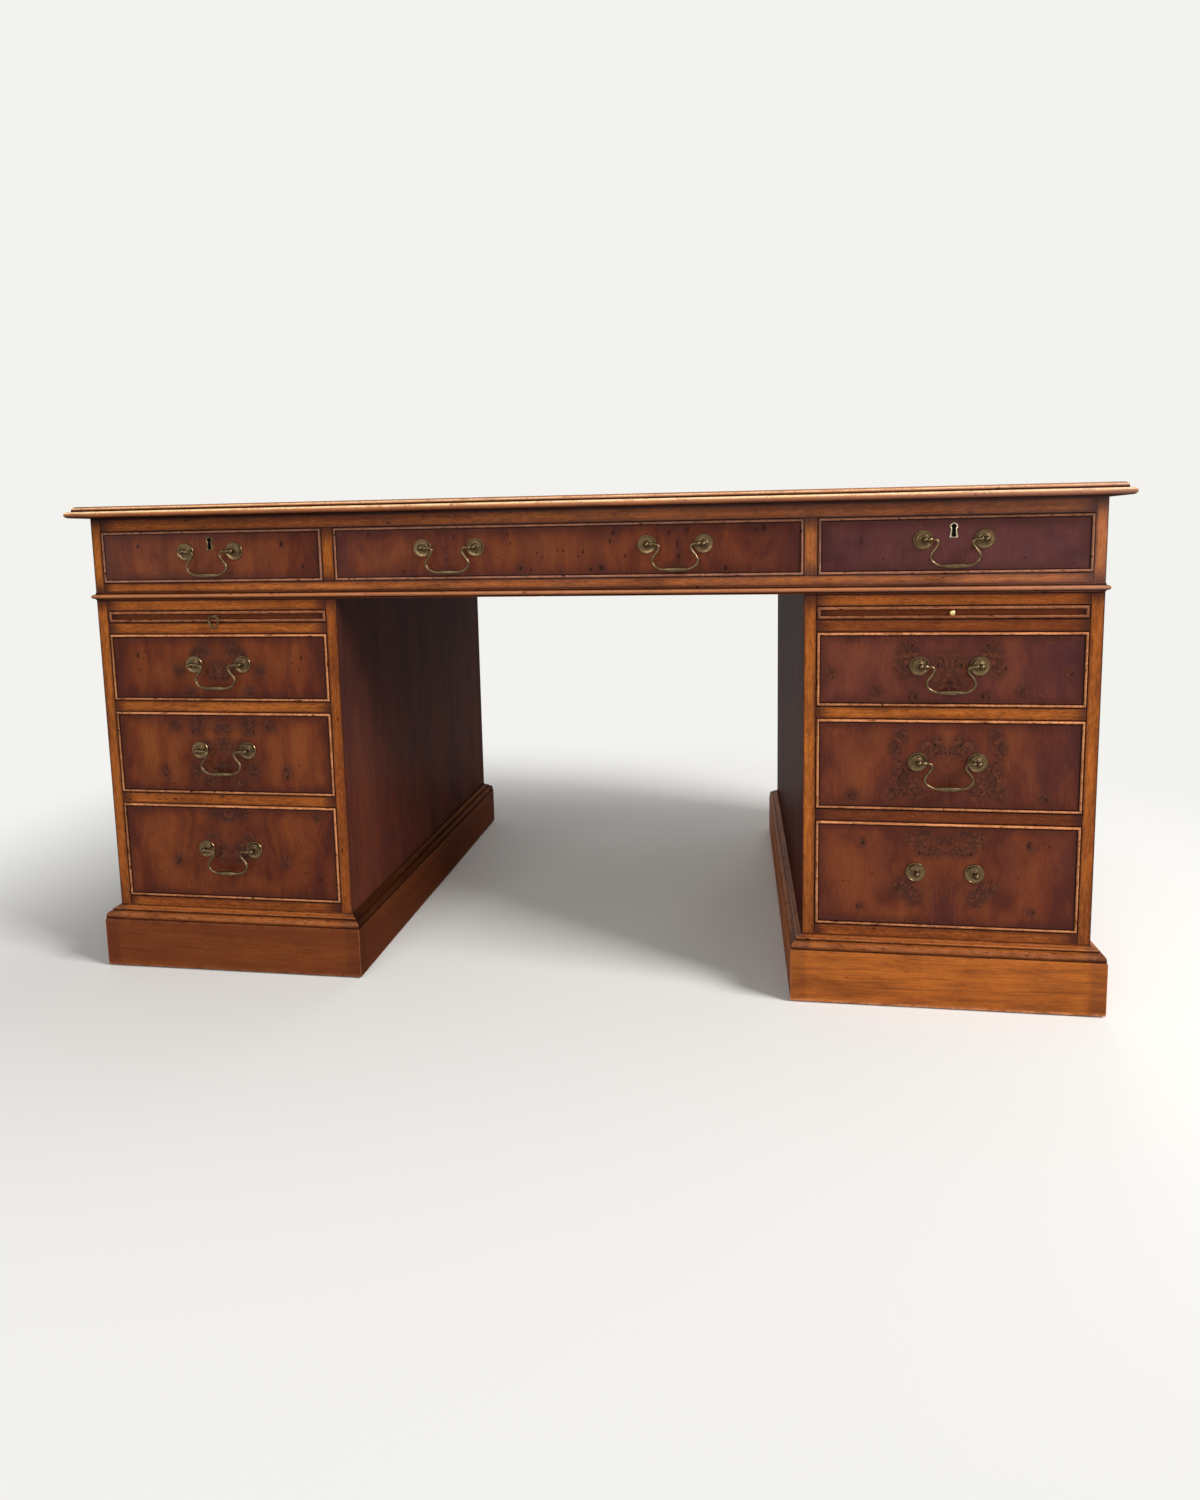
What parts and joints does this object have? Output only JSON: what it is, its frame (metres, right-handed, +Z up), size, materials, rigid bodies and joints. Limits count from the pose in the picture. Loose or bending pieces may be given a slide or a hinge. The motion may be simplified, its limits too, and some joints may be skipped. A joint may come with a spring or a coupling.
{
  "type": "partners desk",
  "caption": "Pedestal writing desk with leather-lined top, frieze and pedestal drawers on bail handles, pull-out slides, plinths and rear cupboards.",
  "frame": {"origin": "on the floor under the middle of the desk's overall box", "axes": "+X along the length to the sitter's right, +Y from the working side to the far side, +Z up"},
  "size_m": [1.6036, 0.8076, 0.7715],
  "materials": {
    "case_yew": "polished",
    "burr_yew": "polished",
    "lining_oak": "waxed",
    "top_leather": "satin",
    "antique_brass": "aged",
    "bright_brass": "polished",
    "glide_plastic": "matte"
  },
  "bodies": {
    "root": {"top_panel": "case_yew", "top_edge_mouldings": "case_yew", "writing_leathers": "top_leather", "frieze_frame": "case_yew", "frieze_base_bead": "case_yew", "frieze_runners": "lining_oak", "rear_false_fronts": "burr_yew", "rear_false_handles": "antique_brass", "pedestal_runners": "lining_oak", "floor_glides": "glide_plastic", "door_frame_hinges": "antique_brass", "cupboard_shelves": "lining_oak", "left_pedestal_case": "case_yew", "left_pedestal_frame": "case_yew", "left_plinth": "case_yew", "left_plinth_moulding": "case_yew", "right_pedestal_case": "case_yew", "right_pedestal_frame": "case_yew", "right_plinth": "case_yew", "right_plinth_moulding": "case_yew"},
    "left_frieze_drawer": {"left_frieze_drawer": "burr_yew", "left_frieze_handle_mounts": "antique_brass", "left_frieze_lock": "antique_brass"},
    "left_frieze_bail": {"left_frieze_bail": "antique_brass"},
    "left_upper_drawer": {"left_upper_drawer": "burr_yew", "left_upper_handle_mounts": "antique_brass"},
    "left_upper_bail": {"left_upper_bail": "antique_brass"},
    "left_middle_drawer": {"left_middle_drawer": "burr_yew", "left_middle_handle_mounts": "antique_brass"},
    "left_middle_bail": {"left_middle_bail": "antique_brass"},
    "left_lower_drawer": {"left_lower_drawer": "burr_yew", "left_lower_handle_mounts": "antique_brass"},
    "left_lower_bail": {"left_lower_bail": "antique_brass"},
    "right_frieze_drawer": {"right_frieze_drawer": "burr_yew", "right_frieze_handle_mounts": "antique_brass", "right_frieze_lock": "antique_brass"},
    "right_frieze_bail": {"right_frieze_bail": "antique_brass"},
    "right_upper_drawer": {"right_upper_drawer": "burr_yew", "right_upper_handle_mounts": "antique_brass"},
    "right_upper_bail": {"right_upper_bail": "antique_brass"},
    "right_middle_drawer": {"right_middle_drawer": "burr_yew", "right_middle_handle_mounts": "antique_brass"},
    "right_middle_bail": {"right_middle_bail": "antique_brass"},
    "right_lower_drawer": {"right_lower_drawer": "burr_yew", "right_lower_handle_mounts": "antique_brass"},
    "centre_frieze_drawer": {"centre_frieze_drawer": "burr_yew", "centre_frieze_handle_mounts": "antique_brass"},
    "centre_frieze_left_bail": {"centre_frieze_left_bail": "antique_brass"},
    "centre_frieze_right_bail": {"centre_frieze_right_bail": "antique_brass"},
    "left_frieze_lock_bolt": {"left_frieze_lock_bolt": "antique_brass"},
    "left_slide": {"left_slide": "case_yew", "left_slide_post": "antique_brass"},
    "left_rear_door": {"left_rear_door": "burr_yew", "left_door_fittings": "antique_brass"},
    "right_frieze_lock_bolt": {"right_frieze_lock_bolt": "antique_brass"},
    "right_slide": {"right_slide": "case_yew", "right_slide_knob": "bright_brass"},
    "right_rear_door": {"right_rear_door": "burr_yew", "right_door_fittings": "antique_brass"},
    "left_slide_ring": {"left_slide_ring": "antique_brass"}
  },
  "joints": [
    {"name": "left_frieze_drawer_slide", "type": "slide", "parent": "root", "child": "left_frieze_drawer", "axis": [0, -1, 0], "range_m": [0, 0.32]},
    {"name": "left_frieze_bail_hinge", "type": "hinge", "parent": "left_frieze_drawer", "child": "left_frieze_bail", "pos_m": [-0.57025, -0.38925, 0.6967], "axis": [-1, 0, 0], "range_deg": [0, 110]},
    {"name": "left_upper_drawer_slide", "type": "slide", "parent": "root", "child": "left_upper_drawer", "axis": [0, -1, 0], "range_m": [0, 0.3]},
    {"name": "left_upper_bail_hinge", "type": "hinge", "parent": "left_upper_drawer", "child": "left_upper_bail", "pos_m": [-0.56875, -0.38925, 0.5146], "axis": [-1, 0, 0], "range_deg": [0, 110]},
    {"name": "left_middle_drawer_slide", "type": "slide", "parent": "root", "child": "left_middle_drawer", "axis": [0, -1, 0], "range_m": [0, 0.3]},
    {"name": "left_middle_bail_hinge", "type": "hinge", "parent": "left_middle_drawer", "child": "left_middle_bail", "pos_m": [-0.56875, -0.38925, 0.3725], "axis": [-1, 0, 0], "range_deg": [0, 110]},
    {"name": "left_lower_drawer_slide", "type": "slide", "parent": "root", "child": "left_lower_drawer", "axis": [0, -1, 0], "range_m": [0, 0.3]},
    {"name": "left_lower_bail_hinge", "type": "hinge", "parent": "left_lower_drawer", "child": "left_lower_bail", "pos_m": [-0.56875, -0.38925, 0.20475], "axis": [-1, 0, 0], "range_deg": [0, 110]},
    {"name": "right_frieze_drawer_slide", "type": "slide", "parent": "root", "child": "right_frieze_drawer", "axis": [0, -1, 0], "range_m": [0, 0.32]},
    {"name": "right_frieze_bail_hinge", "type": "hinge", "parent": "right_frieze_drawer", "child": "right_frieze_bail", "pos_m": [0.57025, -0.38925, 0.6967], "axis": [-1, 0, 0], "range_deg": [0, 110]},
    {"name": "right_upper_drawer_slide", "type": "slide", "parent": "root", "child": "right_upper_drawer", "axis": [0, -1, 0], "range_m": [0, 0.3]},
    {"name": "right_upper_bail_hinge", "type": "hinge", "parent": "right_upper_drawer", "child": "right_upper_bail", "pos_m": [0.56875, -0.38925, 0.5146], "axis": [-1, 0, 0], "range_deg": [0, 110]},
    {"name": "right_middle_drawer_slide", "type": "slide", "parent": "root", "child": "right_middle_drawer", "axis": [0, -1, 0], "range_m": [0, 0.3]},
    {"name": "right_middle_bail_hinge", "type": "hinge", "parent": "right_middle_drawer", "child": "right_middle_bail", "pos_m": [0.56875, -0.38925, 0.3725], "axis": [-1, 0, 0], "range_deg": [0, 110]},
    {"name": "right_lower_drawer_slide", "type": "slide", "parent": "root", "child": "right_lower_drawer", "axis": [0, -1, 0], "range_m": [0, 0.3]},
    {"name": "centre_frieze_drawer_slide", "type": "slide", "parent": "root", "child": "centre_frieze_drawer", "axis": [0, -1, 0], "range_m": [0, 0.32]},
    {"name": "centre_frieze_left_bail_hinge", "type": "hinge", "parent": "centre_frieze_drawer", "child": "centre_frieze_left_bail", "pos_m": [-0.174, -0.38925, 0.6967], "axis": [-1, 0, 0], "range_deg": [0, 110]},
    {"name": "centre_frieze_right_bail_hinge", "type": "hinge", "parent": "centre_frieze_drawer", "child": "centre_frieze_right_bail", "pos_m": [0.174, -0.38925, 0.6967], "axis": [-1, 0, 0], "range_deg": [0, 110]},
    {"name": "left_lock_bolt_throw", "type": "slide", "parent": "left_frieze_drawer", "child": "left_frieze_lock_bolt", "axis": [0, 0, 1], "range_m": [0, 0.0065]},
    {"name": "left_writing_slide", "type": "slide", "parent": "root", "child": "left_slide", "axis": [0, -1, 0], "range_m": [0, 0.28]},
    {"name": "left_door_hinge", "type": "hinge", "parent": "root", "child": "left_rear_door", "pos_m": [-0.7569, 0.3807, 0.1191], "axis": [0, 0, 1], "range_deg": [0, 105]},
    {"name": "right_lock_bolt_throw", "type": "slide", "parent": "right_frieze_drawer", "child": "right_frieze_lock_bolt", "axis": [0, 0, 1], "range_m": [0, 0.0065]},
    {"name": "right_writing_slide", "type": "slide", "parent": "root", "child": "right_slide", "axis": [0, -1, 0], "range_m": [0, 0.28]},
    {"name": "right_door_hinge", "type": "hinge", "parent": "root", "child": "right_rear_door", "pos_m": [0.7569, 0.3807, 0.1191], "axis": [0, 0, -1], "range_deg": [0, 105]},
    {"name": "left_slide_ring_hinge", "type": "hinge", "parent": "left_slide", "child": "left_slide_ring", "pos_m": [-0.56875, -0.38325, 0.59235], "axis": [-1, 0, 0], "range_deg": [0, 100]}
  ]
}
